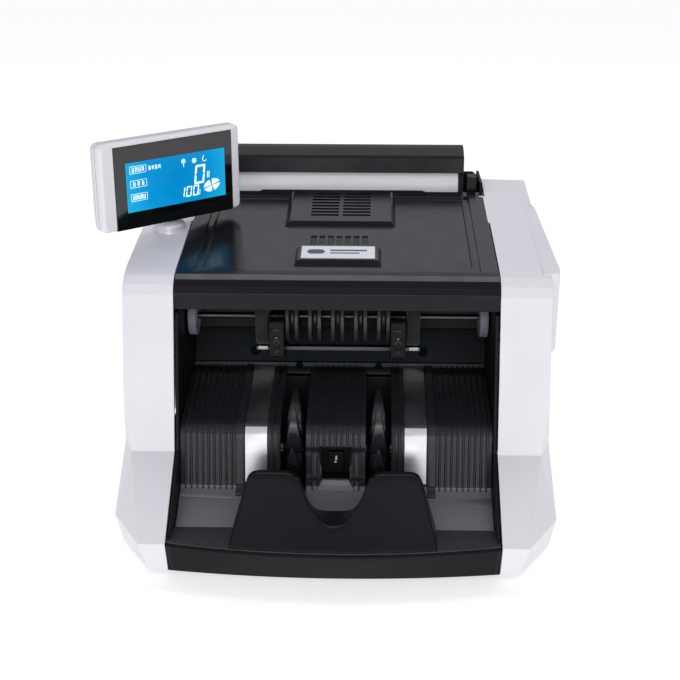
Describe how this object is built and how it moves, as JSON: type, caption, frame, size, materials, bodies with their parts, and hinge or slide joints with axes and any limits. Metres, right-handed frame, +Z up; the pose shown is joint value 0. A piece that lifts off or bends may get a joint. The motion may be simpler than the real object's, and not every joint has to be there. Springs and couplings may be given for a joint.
{
  "type": "banknote counting machine",
  "caption": "Desktop banknote counter with a rear hopper, exit rollers, finger-wheel stacker, note stop and a swivelling side display.",
  "frame": {"origin": "middle of the machine's box, on the table under its feet", "axes": "+X to the machine's right as the user faces it, +Y to its rear, +Z up"},
  "size_m": [0.3156, 0.3058, 0.2572],
  "materials": {
    "white_shell": "satin",
    "gloss_black": "polished",
    "satin_black": "satin",
    "bright_steel": "brushed",
    "silver_strip": "brushed",
    "zinc_steel": "satin",
    "rubber": "matte",
    "lilac_plastic": "satin",
    "nylon": "satin",
    "board": "satin",
    "display_glass": "polished",
    "lcd": "satin",
    "key_plastic": "satin"
  },
  "bodies": {
    "chassis": {"right_side_cover": "white_shell", "left_side_cover": "white_shell", "right_side_frame": "satin_black", "left_side_frame": "satin_black", "base_plate": "zinc_steel", "front_left_foot": "rubber", "front_right_foot": "rubber", "rear_left_foot": "rubber", "rear_right_foot": "rubber", "rear_cover": "satin_black", "power_inlet": "satin_black", "front_tray": "satin_black", "front_note_stop": "satin_black", "stacker_plate": "satin_black", "left_antistatic_strip": "silver_strip", "right_antistatic_strip": "silver_strip", "throat_panel": "satin_black", "upper_guide": "satin_black", "exit_bearing_left": "lilac_plastic", "exit_bearing_right": "lilac_plastic", "guide_bar": "bright_steel", "left_sensor_bracket": "satin_black", "right_sensor_bracket": "satin_black", "retard_roller": "nylon", "drive_belt": "rubber", "drive_motor": "zinc_steel", "main_board": "board", "top_cover": "gloss_black", "name_plate": "silver_strip", "hopper_back_frame": "satin_black", "hopper_sheet": "bright_steel", "display_base": "white_shell"},
    "feed_train": {"feed_shaft": "bright_steel", "feed_roller": "rubber", "feed_gear": "nylon", "feed_pulley": "nylon"},
    "exit_train": {"exit_shaft": "bright_steel", "exit_gear": "nylon", "exit_rubber_roller_left": "rubber", "exit_rubber_roller_right": "rubber", "exit_roller_1": "satin_black", "exit_roller_2": "satin_black", "exit_roller_3": "satin_black", "exit_roller_4": "satin_black", "exit_roller_5": "satin_black"},
    "stacker_train": {"stacker_shaft": "bright_steel", "left_stacker_wheel": "satin_black", "right_stacker_wheel": "satin_black", "stacker_pulley": "nylon"},
    "motor_train": {"motor_pulley": "nylon"},
    "display_head": {"display_shell": "white_shell", "display_glass": "display_glass", "display_lcd": "lcd"},
    "left_guide": {"left_note_guide": "satin_black"},
    "right_guide": {"right_note_guide": "satin_black"},
    "gap_knob": {"gap_adjust_knob": "satin_black"},
    "switch_rocker": {"power_switch": "satin_black"},
    "mode_button": {"mode_key": "key_plastic"},
    "batch_button": {"batch_key": "key_plastic"},
    "start_button": {"start_key": "key_plastic"}
  },
  "joints": [
    {"name": "feed_spin", "type": "hinge", "parent": "chassis", "child": "feed_train", "pos_m": [0.0093, 0.0376, 0.1032], "axis": [1, 0, 0], "continuous": true},
    {"name": "exit_spin", "type": "hinge", "parent": "chassis", "child": "exit_train", "pos_m": [0.0093, -0.0203, 0.1385], "axis": [1, 0, 0], "continuous": true},
    {"name": "stacker_spin", "type": "hinge", "parent": "chassis", "child": "stacker_train", "pos_m": [0.0093, -0.0563, 0.055], "axis": [1, 0, 0], "continuous": true},
    {"name": "motor_spin", "type": "hinge", "parent": "chassis", "child": "motor_train", "pos_m": [0.0093, 0.0357, 0.04], "axis": [1, 0, 0], "continuous": true},
    {"name": "display_swivel", "type": "hinge", "parent": "chassis", "child": "display_head", "pos_m": [-0.1122, 0.0237, 0.19], "axis": [0, 0, 1], "range_deg": [-90, 90]},
    {"name": "left_guide_slide", "type": "slide", "parent": "chassis", "child": "left_guide", "axis": [1, 0, 0], "range_m": [0, 0.035]},
    {"name": "right_guide_slide", "type": "slide", "parent": "chassis", "child": "right_guide", "axis": [-1, 0, 0], "range_m": [0, 0.035]},
    {"name": "gap_adjust_turn", "type": "hinge", "parent": "chassis", "child": "gap_knob", "pos_m": [0.0093, 0.1477, 0.176], "axis": [0, 1, 0], "range_deg": [-180, 180]},
    {"name": "power_rock", "type": "hinge", "parent": "chassis", "child": "switch_rocker", "pos_m": [-0.0272, 0.1427, 0.04], "axis": [1, 0, 0], "range_deg": [0, 20]},
    {"name": "mode_press", "type": "slide", "parent": "chassis", "child": "mode_button", "axis": [-1, 0, 0], "range_m": [0, 0.0012], "stiffness_N_per_m": 400, "springref_m": -0.0002},
    {"name": "batch_press", "type": "slide", "parent": "chassis", "child": "batch_button", "axis": [-1, 0, 0], "range_m": [0, 0.0012], "stiffness_N_per_m": 400, "springref_m": -0.0002},
    {"name": "start_press", "type": "slide", "parent": "chassis", "child": "start_button", "axis": [-1, 0, 0], "range_m": [0, 0.0012], "stiffness_N_per_m": 400, "springref_m": -0.0002}
  ],
  "couplings": [
    {"joint": "exit_spin", "follows": "feed_spin", "ratio": -1.3684},
    {"joint": "stacker_spin", "follows": "feed_spin", "ratio": 1},
    {"joint": "motor_spin", "follows": "feed_spin", "ratio": 1}
  ]
}
